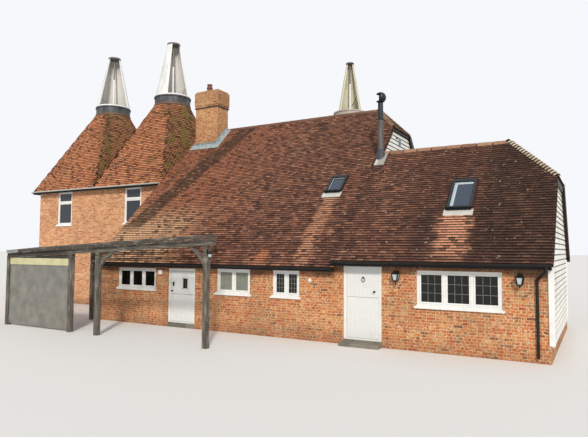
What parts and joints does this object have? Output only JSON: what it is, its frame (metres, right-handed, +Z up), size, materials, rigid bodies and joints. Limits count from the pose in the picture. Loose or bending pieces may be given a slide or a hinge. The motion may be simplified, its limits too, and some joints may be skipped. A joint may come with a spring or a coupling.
{
  "type": "oast house",
  "caption": "Oast house: catslide main range with a lower wing, two square kilns with turning cowls at one end and a third at the back.",
  "frame": {"origin": "on the ground, half way along the main range, under its ridge", "axes": "+X along the front to the right, +Y to the back, +Z up"},
  "size_m": [24.0313, 18.437, 12.797],
  "materials": {
    "brick": "old soft red and orange brick in lime mortar",
    "roof_tile": "weathered plain clay tiles on battens and rafters",
    "ridge_tile": "half-round clay ridge tiles",
    "white_boards": "framed wall with white painted lapped boards",
    "lead": "sheet lead, weathered grey",
    "cowl_boards": "white painted softwood boards",
    "cowl_post": "white painted post on an oak beam",
    "clay": "dark red clay",
    "black_steel": "black stove enamel",
    "light_frame": "dark coated aluminium",
    "glass": "clear double glazing",
    "white_joinery": "white painted joinery",
    "white_doors": "white painted boarded doors",
    "step_stone": "brick and stone steps",
    "black_gutter": "black half-round gutter",
    "lantern_iron": "black painted iron and glass",
    "weathered_oak": "silvered oak",
    "screen": "cream rail over a grey sheet",
    "floor_stone": "stone floor on rubble",
    "floor_boards": "joists and boards"
  },
  "bodies": {
    "root": {"chimney_pot": "clay", "chimney_stack": "brick", "cowl_posts": "cowl_post", "door_frames": "white_joinery", "door_heads": "brick", "door_sills": "step_stone", "downpipe": "black_gutter", "flue_pipe": "black_steel", "front_wall_left": "brick", "front_wall_middle": "brick", "front_wall_pier": "brick", "front_wall_right": "brick", "front_window_frames": "white_joinery", "ground_floors": "floor_stone", "half_hips": "roof_tile", "kiln_1_kerb": "lead", "kiln_1_roof": "roof_tile", "kiln_2_kerb": "lead", "kiln_2_roof": "roof_tile", "kiln_3_front_wall": "brick", "kiln_3_kerb": "lead", "kiln_3_rear_wall": "brick", "kiln_3_roof": "roof_tile", "kiln_3_side_walls": "brick", "kiln_front_wall": "brick", "kiln_gutters": "black_gutter", "kiln_rear_wall": "brick", "kiln_side_walls": "brick", "kiln_upper_floors": "floor_boards", "kiln_window_frames": "white_joinery", "lead_flashings": "lead", "main_gable_left": "brick", "main_gable_right": "white_boards", "main_rear_wall": "brick", "main_roof_front": "roof_tile", "main_roof_rear": "roof_tile", "pergola_boards": "weathered_oak", "pergola_frame": "weathered_oak", "pergola_joists": "weathered_oak", "pergola_screen": "screen", "range_gutters": "black_gutter", "rear_window_frames": "white_joinery", "ridge_tiles": "ridge_tile", "roof_light_frames": "light_frame", "wall_lanterns": "lantern_iron", "window_glass": "glass", "wing_gable": "white_boards", "wing_rear_wall": "brick", "wing_roof_front": "roof_tile", "wing_roof_rear": "roof_tile"},
    "door_1_lower_leaf": {"door_1_lower": "white_doors"},
    "door_1_upper_leaf": {"door_1_upper": "white_doors"},
    "door_2_lower_leaf": {"door_2_lower": "white_doors"},
    "door_2_upper_leaf": {"door_2_upper": "white_doors"},
    "cowl_1_head": {"cowl_1": "cowl_boards"},
    "cowl_2_head": {"cowl_2": "cowl_boards"},
    "cowl_3_head": {"cowl_3": "cowl_boards"},
    "flue_cowl_head": {"flue_cowl": "black_steel"}
  },
  "joints": [
    {"name": "door_1_lower_hinge", "type": "hinge", "parent": "root", "child": "door_1_lower_leaf", "pos_m": [-0.323, -5.678, 0.6], "axis": [0, 0, -1], "range_deg": [0, 90]},
    {"name": "door_1_upper_hinge", "type": "hinge", "parent": "root", "child": "door_1_upper_leaf", "pos_m": [-0.323, -5.678, 1.5], "axis": [0, 0, -1], "range_deg": [0, 90]},
    {"name": "door_2_lower_hinge", "type": "hinge", "parent": "root", "child": "door_2_lower_leaf", "pos_m": [5.168, -5.678, 0.7], "axis": [0, 0, 1], "range_deg": [0, 90]},
    {"name": "door_2_upper_hinge", "type": "hinge", "parent": "root", "child": "door_2_upper_leaf", "pos_m": [5.168, -5.678, 1.7], "axis": [0, 0, 1], "range_deg": [0, 90]},
    {"name": "cowl_1_turn", "type": "hinge", "parent": "root", "child": "cowl_1_head", "pos_m": [-11.1, 0.2, 12.7], "axis": [0, 0, 1], "continuous": true},
    {"name": "cowl_2_turn", "type": "hinge", "parent": "root", "child": "cowl_2_head", "pos_m": [-6.9, 0.2, 12.7], "axis": [0, 0, 1], "continuous": true},
    {"name": "cowl_3_turn", "type": "hinge", "parent": "root", "child": "cowl_3_head", "pos_m": [-0.31, 6.95, 12.7], "axis": [0, 0, 1], "continuous": true},
    {"name": "flue_cowl_turn", "type": "hinge", "parent": "root", "child": "flue_cowl_head", "pos_m": [4.99, -2.56, 7.7], "axis": [0, 0, 1], "continuous": true}
  ]
}
